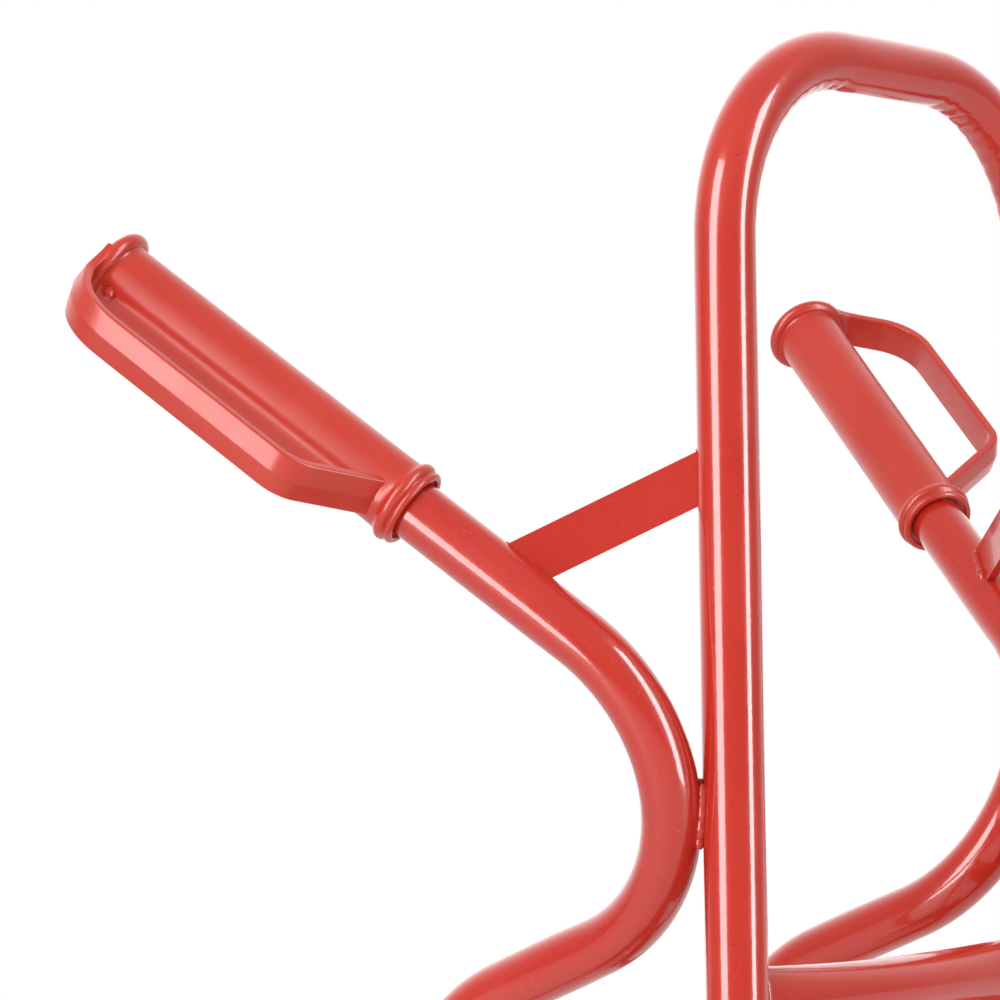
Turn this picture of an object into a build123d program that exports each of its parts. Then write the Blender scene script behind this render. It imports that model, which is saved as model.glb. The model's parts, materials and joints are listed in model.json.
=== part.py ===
from build123d import *
import math
import os

# Two-wheeled steel-tube hand truck with guarded rear handles and pneumatic wheels.
# Millimetres. +Z is up, +Y is the load side and +X is the operator's right.
# The origin is on the floor, under the toe plate, midway between the two uprights.

# ---------------------------------------------------------------- driving sizes
HEIGHT = 1160.0            # floor to the top of the main loop
LEG_SPACING = 225.0        # centre to centre of the two uprights
TUBE_OD = 25.0
TUBE_WALL = 1.5
BEND_R = 81.0              # centreline radius of every tube bend

# Handle tubes: they touch the uprights, rise outwards to the grips and run down to the axle.
HANDLE_VERTEX_Z = 830.0    # where the two straight runs of a handle tube would meet
HANDLE_SPLAY = 25.4        # outward angle of the handle, seen from above
HANDLE_RISE = 37.9         # climb of the handle above level
REAR_DROOP = 21.4          # fall of the run behind the upright, below level
HANDLE_REACH = 378.0       # from the vertex to the end of the handle tube
REAR_STRAIGHT = 55.0       # straight length between the two bends
REAR_TUBE_LAP = 22.0       # length of the tube end that is slotted over the axle bracket

# Flat bars and cross members
BAR_WIDTH = 20.0
BAR_THICK = 4.0
BRACE_ON_HANDLE = 40.0     # from the end of the handle bend to the middle of the brace
BRACE_ON_LEG_Z = 977.5
LOWER_BRACE_Z = 470.0
CROSSBAR_HEIGHTS = {"crossbar_upper": 762.0, "crossbar_middle": 480.0, "crossbar_lower": 210.0}
CROSSBAR_END_TALL = 32.0   # the bar's ends are pressed to a standing oval
CROSSBAR_END_THICK = 15.0

# Toe plate
PLATE_WIDTH = 350.0
PLATE_DEPTH = 250.0
PLATE_THICK = 5.0
PLATE_BEHIND = 20.0        # length of the plate behind the uprights' centre plane
PLATE_CORNER_R = 22.0
GUSSET_LENGTH = 150.0
GUSSET_HEIGHT = 62.0
GUSSET_THICK = 4.0
GUSSET_NOSE = 8.0          # height of a gusset's blunt ends

# Axle
AXLE_D = 20.0
AXLE_BACK = 120.0          # axle centre behind the uprights
BRACKET_THICK = 5.0
BRACKET_BOSS_R = 24.0
BRACKET_EDGE = 4.0         # from the boss to the open end of the rear tube
BRACKET_LEG_LOW = 70.0
BRACKET_LEG_HIGH = 215.0
FIT_GAP = 0.1              # clearance of fixed parts on their shafts and seats
RUN_GAP = 0.05             # clearance of running parts
SLOT_GAP = 0.1             # each side of the bracket's tongue in the slotted tube

# Wheels: a 260 x 85 pneumatic tyre on a two-piece pressed rim
TYRE_R = 130.0
TYRE_WIDTH = 85.0
TREAD_THICK = 8.0
SIDEWALL_THICK = 4.5
SHOULDER_DROP = 9.0        # fall of the tread from the crown to the shoulder
SHOULDER_OUT = 0.84        # the shoulder's place as a part of the tyre's half width
BEAD_THICK = 6.0
TREAD_CURVE = 150.0        # grooves get shallower by x * x over this
GROOVE_DEPTH = 3.5
GROOVE_WIDTH = 3.0
GROOVE_PITCH = 14.0
BEAD_SEAT_R = 51.0
RIM_WIDTH = 58.0           # between the rim's bead flanges
RIM_LIP_R = 60.0
RIM_SHEET = 2.0
RIM_DISH = 12.0            # from the bead seat down to the flat web of a rim half
RIM_CONE = 6.0             # how far the dish leans outwards
RIM_CURL = 3.0             # outward reach of the rim's curled edge
INNER_TUBE_WALL = 1.5
INNER_TUBE_GAP = 0.3       # from the inner tube to the tyre's crown and to the rim
INNER_TUBE_ROUND = 0.88    # the inner tube's width as a part of its height
WHEEL_SIDE_GAP = 9.0       # from an upright's outer side to the tyre
HUB_LENGTH = 78.0
HUB_OD = 50.0
HUB_CORE_D = 34.0          # hub bore between the two bearings
BEARING_OD = 42.0
BEARING_WIDTH = 12.0
BALL_D = 6.35
BALL_COUNT = 9
RING_SHOULDER = 1.6        # how far each race stands over the ball's centre line
SEAL_THICK = 1.0
SEAL_RECESS = 0.3
WASHER_OD = 32.0
WASHER_THICK = 3.0
PIN_D = 4.0
PIN_EYE_R = 5.0
PIN_GAP = 0.4              # from the washer to the pin
PIN_LEG_DROP = 10.0        # the bent ends' reach below the axle
PIN_LEG_SPREAD = 7.0
AXLE_TAIL = 6.0            # axle length outside the split pin
RIM_BOLT_COUNT = 4
RIM_BOLT_D = 6.0
HEX_FLATS = 10.0
HEX_HEIGHT = 4.0
NUT_HEIGHT = 5.0
BOLT_TAIL = 3.0            # thread showing past the nut
VALVE_D = 7.0
VALVE_X = 16.0             # valve hole, out from the wheel's middle plane
VALVE_DROP = 12.0          # from the bead seat in to the valve's sideways run
VALVE_BEND_R = 7.0
VALVE_CAP_D = 9.5
VALVE_CAP_LENGTH = 10.0
VALVE_TIP_X = 41.0         # end of the valve, out from the wheel's middle plane

# Safety grips
GRIP_LENGTH = 168.0
GRIP_OD = 31.5
GRIP_END_WALL = 3.5
GRIP_FIT = 0.1
FLANGE_R = 19.8
FLANGE_THICK = 7.0
COLLAR_R = 18.8
COLLAR_BEAD = 5.5          # width of each of the two collar beads
MOUTH_R = 14.8             # the collar's wider mouth round the tube
MOUTH_DEPTH = 11.0
GUARD_WIDTH = 17.5
GUARD_THICK = 3.0
GUARD_RIDGE = 1.6          # height of the crease along the guard's outer face
GUARD_TURN = {"right": -17.0, "left": 9.0}   # each grip's own turn on its tube, upwards positive
GUARD_OUTLINE = ((163.0, 15.0), (151.0, 46.5), (42.5, 48.0), (14.0, 12.5))   # along, out
GUARD_BENDS = (30.0, 14.0)

# ---------------------------------------------------------------- derived sizes
TUBE_R = TUBE_OD / 2
LEG_X = LEG_SPACING / 2
LOOP_TOP = HEIGHT - TUBE_R
AXLE_R = AXLE_D / 2
AXLE_Z = TYRE_R
AXLE_Y = -AXLE_BACK
WHEEL_X = LEG_X + TUBE_R + WHEEL_SIDE_GAP + TYRE_WIDTH / 2
BEARING_X = HUB_LENGTH / 2 - BEARING_WIDTH / 2          # from the wheel's middle plane
WASHER_X = WHEEL_X + HUB_LENGTH / 2 + WASHER_THICK / 2 + FIT_GAP
PIN_X = WASHER_X + WASHER_THICK / 2 + PIN_D / 2 + PIN_GAP
AXLE_END = PIN_X + PIN_D / 2 + AXLE_TAIL
RACE_R = (AXLE_R + BEARING_OD / 2) / 2                  # radius of the ring of ball centres
RIM_BOLT_R = (HUB_OD / 2 + BEAD_SEAT_R - RIM_DISH) / 2  # bolts sit in the middle of the flat web
SIDES = {"right": 1, "left": -1}


def direction(splay, rise):
    """Unit vector that points back, turned outwards by splay and upwards by rise."""
    out, up = math.radians(splay), math.radians(rise)
    return Vector(math.sin(out) * math.cos(up), -math.cos(out) * math.cos(up), math.sin(up))


def rounded_path(points, radii):
    """Wire through the points, each inner corner rounded by its radius."""
    points = [Vector(p) for p in points]
    edges = []
    start = points[0]
    for before, corner, after, radius in zip(points, points[1:], points[2:], radii):
        to_before = (before - corner).normalized()
        to_after = (after - corner).normalized()
        half = math.radians(to_before.get_angle(to_after)) / 2
        first = corner + to_before * (radius / math.tan(half))
        last = corner + to_after * (radius / math.tan(half))
        middle_way = (to_before + to_after).normalized()
        middle = corner + middle_way * (radius / math.sin(half) - radius)
        edges += [Edge.make_line(start, first), Edge.make_three_point_arc(first, middle, last)]
        start = last
    edges.append(Edge.make_line(start, points[-1]))
    return Wire(edges)


def tube_along(path, outer=TUBE_R, inner=TUBE_R - TUBE_WALL):
    """Hollow round tube swept along a wire."""
    mouth = Plane(origin=path @ 0, z_dir=path % 0)
    return sweep(mouth * (Circle(outer) - Circle(inner)), path=path)


def rod_along(path, radius):
    return sweep(Plane(origin=path @ 0, z_dir=path % 0) * Circle(radius), path=path)


def rod_between(start, end, radius):
    start, end = Vector(start), Vector(end)
    way = end - start
    return Plane(origin=start, z_dir=way) * Cylinder(
        radius, way.length, align=(Align.CENTER, Align.CENTER, Align.MIN)
    )


def mirrored(part, side):
    return part if side == "right" else mirror(part, about=Plane.YZ)


def ring(outer, inner, low, high):
    """Plain ring about the X axis from x = low to x = high."""
    profile = Polyline((low, inner), (high, inner), (high, outer), (low, outer), close=True)
    return revolve(make_face(profile), axis=Axis.X)


# ---------------------------------------------------------------- frame of bent tube
UP_WAY = direction(HANDLE_SPLAY, HANDLE_RISE)
REAR_WAY = direction(0, -REAR_DROOP)
HANDLE_BEND_TANGENT = BEND_R / math.tan(math.radians(UP_WAY.get_angle(REAR_WAY)) / 2)


def handle_vertex():
    """Corner of the handle tube, set so that its bend just touches the upright."""
    corner = Vector(LEG_X, 0, HANDLE_VERTEX_Z)
    bend = rounded_path(
        (corner + UP_WAY * 400, corner, corner + REAR_WAY * 400), (BEND_R,)
    ).edges()[1]
    forward = min(
        -math.sqrt(TUBE_OD**2 - (p.X - LEG_X) ** 2) - p.Y
        for p in (bend @ (i / 200) for i in range(201))
        if abs(p.X - LEG_X) < TUBE_OD
    )
    return corner + Vector(0, forward, 0)


VERTEX = handle_vertex()
HANDLE_END = VERTEX + UP_WAY * HANDLE_REACH
AXLE_CENTRE = Vector(LEG_X, AXLE_Y, AXLE_Z)


def rear_vertex():
    """Corner behind the upright, where the rear run turns down to the axle."""
    reach = HANDLE_BEND_TANGENT + REAR_STRAIGHT
    for _ in range(20):
        corner = VERTEX + REAR_WAY * reach
        half = math.radians((AXLE_CENTRE - corner).get_angle(REAR_WAY)) / 2
        reach = HANDLE_BEND_TANGENT + REAR_STRAIGHT + BEND_R * math.tan(half)
    return corner


REAR_VERTEX = rear_vertex()
DOWN_WAY = (AXLE_CENTRE - REAR_VERTEX).normalized()
BRACKET_TO_TUBE = BRACKET_BOSS_R + BRACKET_EDGE
REAR_END = AXLE_CENTRE - DOWN_WAY * BRACKET_TO_TUBE


def main_loop():
    foot = PLATE_THICK
    path = rounded_path(
        ((LEG_X, 0, foot), (LEG_X, 0, LOOP_TOP), (-LEG_X, 0, LOOP_TOP), (-LEG_X, 0, foot)),
        (BEND_R, BEND_R),
    )
    return tube_along(path)


def leg_core(x=LEG_X):
    """Solid rod of an upright's outside size, used to cope what is welded to it."""
    return rod_between((x, 0, 0), (x, 0, LOOP_TOP - BEND_R), TUBE_R)


def handle_path():
    return rounded_path((HANDLE_END, VERTEX, REAR_VERTEX, REAR_END), (BEND_R, BEND_R))


def handle_tube():
    slot_top = REAR_END - DOWN_WAY * REAR_TUBE_LAP
    slot = Plane(origin=slot_top, z_dir=DOWN_WAY, x_dir=(1, 0, 0)) * Box(
        BRACKET_THICK + 2 * SLOT_GAP, TUBE_OD * 2, REAR_TUBE_LAP * 2,
        align=(Align.CENTER, Align.CENTER, Align.MIN),
    )
    return tube_along(handle_path()) - slot


def upper_brace():
    """Upright flat bar from the handle tube to the upright, coped to both tubes."""
    on_handle = VERTEX + UP_WAY * (HANDLE_BEND_TANGENT + BRACE_ON_HANDLE)
    on_leg = Vector(LEG_X, 0, BRACE_ON_LEG_Z)
    way = on_leg - on_handle
    side_way = Vector(-way.Y, way.X, 0)
    bar = Plane(origin=(on_handle + on_leg) / 2, x_dir=way, z_dir=side_way) * Box(
        way.length, BAR_WIDTH, BAR_THICK
    )
    handle_core = rod_between(VERTEX + UP_WAY * HANDLE_BEND_TANGENT, HANDLE_END, TUBE_R)
    pieces = (bar - leg_core() - handle_core).solids()
    return max(pieces, key=lambda piece: piece.volume)


def lower_brace():
    """Level flat bar from the upright back to the rear run of the handle tube."""
    bar = Pos(LEG_X, AXLE_Y / 2 - TUBE_OD, LOWER_BRACE_Z) * Box(
        BAR_THICK, AXLE_BACK + 4 * TUBE_OD, BAR_WIDTH
    )
    rear_core = rod_between(REAR_VERTEX + DOWN_WAY * BEND_R, AXLE_CENTRE, TUBE_R)
    pieces = (bar - leg_core() - rear_core).solids()
    middle = AXLE_Y / 2
    return min(pieces, key=lambda piece: abs(piece.center().Y - middle))


def crossbar(height):
    """Tube between the uprights; it is round in the middle and a standing oval at each end."""
    def section(x, tall, thick):
        return Plane(origin=(x, 0, height), x_dir=(0, 1, 0), z_dir=(1, 0, 0)) * Ellipse(
            thick / 2, tall / 2
        )

    def body(shrink):
        half_round = TUBE_OD - shrink
        stations = (
            (-LEG_X, CROSSBAR_END_TALL - shrink, CROSSBAR_END_THICK - shrink),
            (-LEG_X / 3, half_round, half_round),
            (LEG_X / 3, half_round, half_round),
            (LEG_X, CROSSBAR_END_TALL - shrink, CROSSBAR_END_THICK - shrink),
        )
        return loft([section(*station) for station in stations])

    return body(0) - body(2 * TUBE_WALL) - leg_core() - leg_core(-LEG_X)


# ---------------------------------------------------------------- toe plate and axle
def toe_plate():
    plate = Pos(0, PLATE_DEPTH / 2 - PLATE_BEHIND, 0) * Box(
        PLATE_WIDTH, PLATE_DEPTH, PLATE_THICK, align=(Align.CENTER, Align.CENTER, Align.MIN)
    )
    front = plate.edges().filter_by(Axis.Z).group_by(Axis.Y)[-1]
    plate = fillet(front, PLATE_CORNER_R)
    nose = plate.faces().sort_by(Axis.Z)[-1].edges().sort_by(Axis.Y)[-1]
    return chamfer(nose, PLATE_THICK * 0.6)


def toe_gusset():
    """Triangular web between the front of an upright and the top of the plate."""
    start = TUBE_R - 1
    outline = Polyline(
        (start, PLATE_THICK),
        (start + GUSSET_LENGTH, PLATE_THICK),
        (start + GUSSET_LENGTH, PLATE_THICK + GUSSET_NOSE),
        (start + GUSSET_NOSE, PLATE_THICK + GUSSET_HEIGHT),
        (start, PLATE_THICK + GUSSET_HEIGHT),
        close=True,
    )
    web = extrude(Plane.YZ * make_face(outline), GUSSET_THICK / 2, both=True)
    return Pos(LEG_X, 0, 0) * web - leg_core()


def axle_bracket():
    """Plate in the upright's own plane; its boss holds the axle and its tongue the rear tube."""
    boss = Pos(AXLE_Y, AXLE_Z) * Circle(BRACKET_BOSS_R)
    shoulder = Pos(AXLE_Y, AXLE_Z + BRACKET_BOSS_R) * Circle(TUBE_R)
    root = Line((0, BRACKET_LEG_LOW), (0, BRACKET_LEG_HIGH))
    web = make_hull([*boss.edges(), *shoulder.edges(), *root.edges()])
    plate = extrude(Plane.YZ * web, BRACKET_THICK / 2, both=True)
    tongue = Plane(origin=(0, AXLE_Y, AXLE_Z), x_dir=(1, 0, 0), z_dir=-DOWN_WAY) * Box(
        BRACKET_THICK, TUBE_OD, BRACKET_TO_TUBE + REAR_TUBE_LAP,
        align=(Align.CENTER, Align.CENTER, Align.MIN),
    )
    hole = rod_between((-LEG_X, AXLE_Y, AXLE_Z), (LEG_X, AXLE_Y, AXLE_Z), AXLE_R + FIT_GAP)
    return Pos(LEG_X, 0, 0) * (plate + tongue - hole) - leg_core()


def axle():
    rod = rod_between((-AXLE_END, AXLE_Y, AXLE_Z), (AXLE_END, AXLE_Y, AXLE_Z), AXLE_R)
    rod = chamfer(rod.edges(), 1.5)
    for x in (-PIN_X, PIN_X):
        rod -= Pos(x, AXLE_Y, AXLE_Z) * Cylinder(PIN_D / 2 + FIT_GAP, AXLE_D * 2)
    return rod


# ---------------------------------------------------------------- safety grips
def grip(side):
    start = HANDLE_END - UP_WAY * (GRIP_LENGTH - GRIP_END_WALL)
    level_out = Vector(-UP_WAY.Y, UP_WAY.X, 0)
    place = Plane(origin=start, x_dir=level_out, z_dir=UP_WAY)
    turn = Rot(0, 0, GUARD_TURN[side])
    outer = GRIP_OD / 2
    bead = COLLAR_BEAD
    body = Cylinder(outer, GRIP_LENGTH, align=(Align.CENTER, Align.CENTER, Align.MIN))
    for low, radius, width in (
        (0, COLLAR_R, bead),
        (bead, COLLAR_R, bead),
        (GRIP_LENGTH - FLANGE_THICK, FLANGE_R, FLANGE_THICK),
    ):
        disc = Pos(0, 0, low + width / 2) * Cylinder(radius, width)
        body += fillet(disc.edges(), width * 0.42)
    path = rounded_path([(out, 0, along) for along, out in GUARD_OUTLINE], GUARD_BENDS)
    start_way = path % 0
    profile = Polyline(
        (0, -GUARD_WIDTH / 2),
        (GUARD_THICK, -GUARD_WIDTH / 2),
        (GUARD_THICK + GUARD_RIDGE, 0),
        (GUARD_THICK, GUARD_WIDTH / 2),
        (0, GUARD_WIDTH / 2),
        close=True,
    )
    outward = Vector(0, 1, 0).cross(start_way)
    section = Plane(origin=path @ 0, x_dir=outward, z_dir=start_way) * make_face(profile)
    body += turn * sweep(section, path=path)
    bore = Cylinder(
        TUBE_R + GRIP_FIT, GRIP_LENGTH - GRIP_END_WALL,
        align=(Align.CENTER, Align.CENTER, Align.MIN),
    )
    mouth = Cylinder(MOUTH_R, MOUTH_DEPTH, align=(Align.CENTER, Align.CENTER, Align.MIN))
    return place * (body - bore - mouth)


# ---------------------------------------------------------------- wheels, about X at x = 0
def tyre():
    half = TYRE_WIDTH / 2
    bead_in = RIM_WIDTH / 2 - RIM_SHEET - RUN_GAP
    bead_top = RIM_LIP_R + RIM_SHEET + 5 * FIT_GAP
    shoulder = half * SHOULDER_OUT
    widest = (TYRE_R + BEAD_SEAT_R) / 2 + SIDEWALL_THICK
    crown = TYRE_R - SHOULDER_DROP
    outer = [
        Line((bead_in, BEAD_SEAT_R), (bead_in, bead_top)),
        ThreePointArc((bead_in, bead_top), (half, widest), (shoulder, crown)),
        ThreePointArc((shoulder, crown), (0, TYRE_R), (-shoulder, crown)),
        ThreePointArc((-shoulder, crown), (-half, widest), (-bead_in, bead_top)),
        Line((-bead_in, bead_top), (-bead_in, BEAD_SEAT_R)),
    ]
    toe, toe_top = bead_in - BEAD_THICK, bead_top - 2
    inside = half - SIDEWALL_THICK
    corner, roof = shoulder - SIDEWALL_THICK, crown - TREAD_THICK + 2
    inner = [
        Line((-bead_in, BEAD_SEAT_R), (-toe, BEAD_SEAT_R)),
        Line((-toe, BEAD_SEAT_R), (-toe, toe_top)),
        ThreePointArc((-toe, toe_top), (-inside, widest), (-corner, roof)),
        ThreePointArc((-corner, roof), (0, TYRE_R - TREAD_THICK), (corner, roof)),
        ThreePointArc((corner, roof), (inside, widest), (toe, toe_top)),
        Line((toe, toe_top), (toe, BEAD_SEAT_R)),
        Line((toe, BEAD_SEAT_R), (bead_in, BEAD_SEAT_R)),
    ]
    casing = revolve(make_face(Wire([line.edge() for line in outer + inner])), axis=Axis.X)
    for step in (-1.5, -0.5, 0.5, 1.5):
        x = step * GROOVE_PITCH
        floor = TYRE_R - GROOVE_DEPTH - x * x / TREAD_CURVE
        casing -= ring(TYRE_R + 1, floor, x - GROOVE_WIDTH / 2, x + GROOVE_WIDTH / 2)
    return casing


def inner_tube():
    """Air-filled tube that lines the tyre's hollow and rests on the rim."""
    low, high = BEAD_SEAT_R + INNER_TUBE_GAP, TYRE_R - TREAD_THICK - INNER_TUBE_GAP
    middle, tall = (low + high) / 2, (high - low) / 2
    wide = tall * INNER_TUBE_ROUND
    skin = Ellipse(wide, tall) - Ellipse(wide - INNER_TUBE_WALL, tall - INNER_TUBE_WALL)
    return revolve(Pos(0, middle) * skin, axis=Axis.X)


def bolt_places():
    for index in range(RIM_BOLT_COUNT):
        angle = 2 * math.pi * (index + 0.5) / RIM_BOLT_COUNT
        yield RIM_BOLT_R * math.cos(angle), RIM_BOLT_R * math.sin(angle)


def rim_half(outboard):
    """Pressed disc with its bead seat and lip; the outboard half has the valve hole."""
    sheet = RIM_SHEET
    seat = RIM_WIDTH / 2
    top = BEAD_SEAT_R - FIT_GAP
    lip = RIM_LIP_R + sheet
    web = top - RIM_DISH
    hub = HUB_OD / 2 + FIT_GAP
    profile = Polyline(
        (RUN_GAP, hub), (RUN_GAP, web), (RIM_CONE, top), (seat - sheet, top),
        (seat - sheet, RIM_LIP_R), (seat, lip), (seat + RIM_CURL, lip), (seat + RIM_CURL, RIM_LIP_R),
        (seat, RIM_LIP_R - sheet), (seat, top - sheet), (RIM_CONE + sheet * 0.6, top - sheet),
        (sheet, web - sheet * 0.3), (sheet, hub), close=True,
    )
    half = revolve(make_face(profile), axis=Axis.X)
    for y, z in bolt_places():
        half -= Pos(0, y, z) * Rot(0, 90, 0) * Cylinder(RIM_BOLT_D / 2 + FIT_GAP, 8 * sheet)
    if not outboard:
        return mirror(half, about=Plane.YZ)
    return half - Pos(VALVE_X, 0, top) * Cylinder(VALVE_D / 2 + 0.5, 4 * RIM_DISH)


def hub():
    sleeve = ring(HUB_OD / 2, HUB_CORE_D / 2, -HUB_LENGTH / 2, HUB_LENGTH / 2)
    for side in (-1, 1):
        seat_in, seat_out = sorted((side * (BEARING_X - BEARING_WIDTH / 2), side * HUB_LENGTH))
        sleeve -= ring(BEARING_OD / 2, 0.5, seat_in, seat_out)
    return sleeve


def ball_groove(x):
    groove = Pos(x, RACE_R) * Circle(BALL_D / 2 + RUN_GAP)
    return revolve(groove, axis=Axis.X)


def both_ends(make):
    return [make(-BEARING_X), make(BEARING_X)]


def bearing_outer_ring(x):
    low, high = x - BEARING_WIDTH / 2, x + BEARING_WIDTH / 2
    return ring(BEARING_OD / 2, RACE_R + RING_SHOULDER, low, high) - ball_groove(x)


def bearing_inner_ring(x):
    low, high = x - BEARING_WIDTH / 2, x + BEARING_WIDTH / 2
    return ring(RACE_R - RING_SHOULDER, AXLE_R + RUN_GAP, low, high) - ball_groove(x)


def bearing_balls(x):
    for index in range(BALL_COUNT):
        angle = 2 * math.pi * index / BALL_COUNT
        yield Pos(x, RACE_R * math.cos(angle), RACE_R * math.sin(angle)) * Sphere(BALL_D / 2)


def bearing_seal(x):
    """Rubber shield in the outer end of a bearing, fixed in the outer ring."""
    face = x + math.copysign(BEARING_WIDTH / 2 - SEAL_RECESS, x)
    low, high = sorted((face, face - math.copysign(SEAL_THICK, x)))
    return ring(RACE_R + RING_SHOULDER - 0.02, RACE_R - RING_SHOULDER + FIT_GAP, low, high)


def hexagon(flats, height):
    return extrude(RegularPolygon(flats / math.sqrt(3), 6), height)


def rim_bolt(y, z):
    head_face = RIM_SHEET + FIT_GAP
    length = 2 * head_face + NUT_HEIGHT + BOLT_TAIL
    bolt = hexagon(HEX_FLATS, HEX_HEIGHT) + Pos(0, 0, -length) * Cylinder(
        RIM_BOLT_D / 2, length, align=(Align.CENTER, Align.CENTER, Align.MIN)
    )
    return Pos(head_face, y, z) * Rot(0, 90, 0) * bolt


def rim_nut(y, z):
    nut = hexagon(HEX_FLATS, NUT_HEIGHT) - Cylinder(RIM_BOLT_D / 2 + RUN_GAP, 6 * NUT_HEIGHT)
    return Pos(-RIM_SHEET - FIT_GAP, y, z) * Rot(0, -90, 0) * nut


def valve_path(tip):
    top = BEAD_SEAT_R + 1.5
    turn = BEAD_SEAT_R - VALVE_DROP
    return rounded_path(((VALVE_X, 0, top), (VALVE_X, 0, turn), (tip, 0, turn)), (VALVE_BEND_R,))


def valve_stem():
    return rod_along(valve_path(VALVE_TIP_X), VALVE_D / 2)


def valve_cap():
    turn = BEAD_SEAT_R - VALVE_DROP
    start = VALVE_TIP_X - VALVE_CAP_LENGTH + 2
    cap = rod_between((start, 0, turn), (start + VALVE_CAP_LENGTH, 0, turn), VALVE_CAP_D / 2)
    cap = fillet(cap.edges().sort_by(Axis.X)[-1], 1.5)
    return cap - rod_between((start, 0, turn), (VALVE_TIP_X + 0.1, 0, turn), VALVE_D / 2 + 0.05)


# ---------------------------------------------------------------- parts held on the axle
def axle_sleeve():
    """Distance tube from the axle bracket to the inner bearing's inner ring."""
    start = LEG_X + BRACKET_THICK / 2 + FIT_GAP
    end = WHEEL_X - HUB_LENGTH / 2 - FIT_GAP
    return ring(AXLE_R + 3, AXLE_R + RUN_GAP, start, end)


def bearing_spacer():
    inside = BEARING_X - BEARING_WIDTH / 2 - FIT_GAP
    return Pos(WHEEL_X, 0, 0) * ring(AXLE_R + 2.5, AXLE_R + RUN_GAP, -inside, inside)


def axle_washer():
    half = WASHER_THICK / 2
    return ring(WASHER_OD / 2, AXLE_R + FIT_GAP, WASHER_X - half, WASHER_X + half)


def split_pin():
    """Eye above the axle, shank through it and the two ends bent apart below."""
    shank = rod_between((PIN_X, 0, -AXLE_R - 4), (PIN_X, 0, AXLE_R + 3), PIN_D / 2)
    eye = Pos(PIN_X, 0, AXLE_R + 2 + PIN_EYE_R) * Rot(0, 90, 0) * Torus(PIN_EYE_R, PIN_D / 2.6)
    ends = [
        rod_between(
            (PIN_X, 0, -AXLE_R - 3), (PIN_X, side * PIN_LEG_SPREAD, -AXLE_R - PIN_LEG_DROP), PIN_D / 3
        )
        for side in (-1, 1)
    ]
    return shank + eye + ends


# ---------------------------------------------------------------- all nodes
def wheel_parts():
    """Everything that turns with a wheel, about X with the wheel's middle plane at x = 0."""
    return {
        "tyre": tyre(),
        "inner_tube": inner_tube(),
        "rim_outboard": rim_half(True),
        "rim_inboard": rim_half(False),
        "hub": hub(),
        "bearing_outer_rings": both_ends(bearing_outer_ring),
        "bearing_balls": [ball for x in (-BEARING_X, BEARING_X) for ball in bearing_balls(x)],
        "bearing_seals": both_ends(bearing_seal),
        "rim_bolts": [rim_bolt(y, z) for y, z in bolt_places()],
        "rim_nuts": [rim_nut(y, z) for y, z in bolt_places()],
        "valve_stem": valve_stem(),
        "valve_cap": valve_cap(),
    }


def axle_parts():
    """What stays on the axle, about X but in the truck's own x."""
    return {
        "bearing_inner_rings": [Pos(WHEEL_X, 0, 0) * r for r in both_ends(bearing_inner_ring)],
        "bearing_spacer": bearing_spacer(),
        "axle_sleeve": axle_sleeve(),
        "axle_washer": axle_washer(),
        "split_pin": split_pin(),
    }


def placed(shape, where):
    """A shape, or each of a list of shapes, moved by a location."""
    shapes = shape if isinstance(shape, list) else [shape]
    moved = [where * item for item in shapes]
    return moved[0] if len(moved) == 1 else Compound(children=moved)


def all_nodes():
    nodes = {
        "main_loop": main_loop(),
        "toe_plate": toe_plate(),
        "axle": axle(),
    }
    for name, height in CROSSBAR_HEIGHTS.items():
        nodes[name] = crossbar(height)
    frame_pairs = {
        "handle_tube": handle_tube(),
        "upper_brace": upper_brace(),
        "lower_brace": lower_brace(),
        "axle_bracket": axle_bracket(),
        "toe_gusset": toe_gusset(),
    }
    wheel_place = Pos(WHEEL_X, AXLE_Y, AXLE_Z)
    axle_place = Pos(0, AXLE_Y, AXLE_Z)
    pairs = {name: placed(part, Pos(0, 0, 0)) for name, part in frame_pairs.items()}
    pairs |= {name: placed(part, wheel_place) for name, part in wheel_parts().items()}
    pairs |= {name: placed(part, axle_place) for name, part in axle_parts().items()}
    for side in SIDES:
        nodes[f"grip_{side}"] = mirrored(grip(side), side)
        for name, part in pairs.items():
            nodes[f"{name}_{side}"] = mirrored(part, side)
    return nodes


def main():
    os.makedirs("parts", exist_ok=True)
    for name, part in all_nodes().items():
        export_step(part, f"parts/{name}.step")


main()
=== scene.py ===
import math

import bpy
from mathutils import Matrix, Vector, noise
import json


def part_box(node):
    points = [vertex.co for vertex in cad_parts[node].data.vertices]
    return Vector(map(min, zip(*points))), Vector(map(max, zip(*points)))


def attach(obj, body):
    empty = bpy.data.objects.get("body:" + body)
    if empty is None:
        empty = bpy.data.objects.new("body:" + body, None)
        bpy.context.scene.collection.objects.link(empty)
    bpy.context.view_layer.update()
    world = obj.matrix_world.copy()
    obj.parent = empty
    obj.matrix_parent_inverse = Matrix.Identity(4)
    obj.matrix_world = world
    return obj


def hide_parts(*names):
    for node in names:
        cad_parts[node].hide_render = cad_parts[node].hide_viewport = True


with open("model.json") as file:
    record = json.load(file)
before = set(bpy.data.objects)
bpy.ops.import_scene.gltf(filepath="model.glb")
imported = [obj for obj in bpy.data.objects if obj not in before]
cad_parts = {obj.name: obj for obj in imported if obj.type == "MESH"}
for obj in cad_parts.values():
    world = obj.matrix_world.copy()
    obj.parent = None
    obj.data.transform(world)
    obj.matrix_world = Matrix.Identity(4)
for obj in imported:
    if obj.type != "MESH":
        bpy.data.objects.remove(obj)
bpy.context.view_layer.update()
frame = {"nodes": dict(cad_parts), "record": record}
MM = 0.001
SIDES = {"right": 1, "left": -1}


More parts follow.
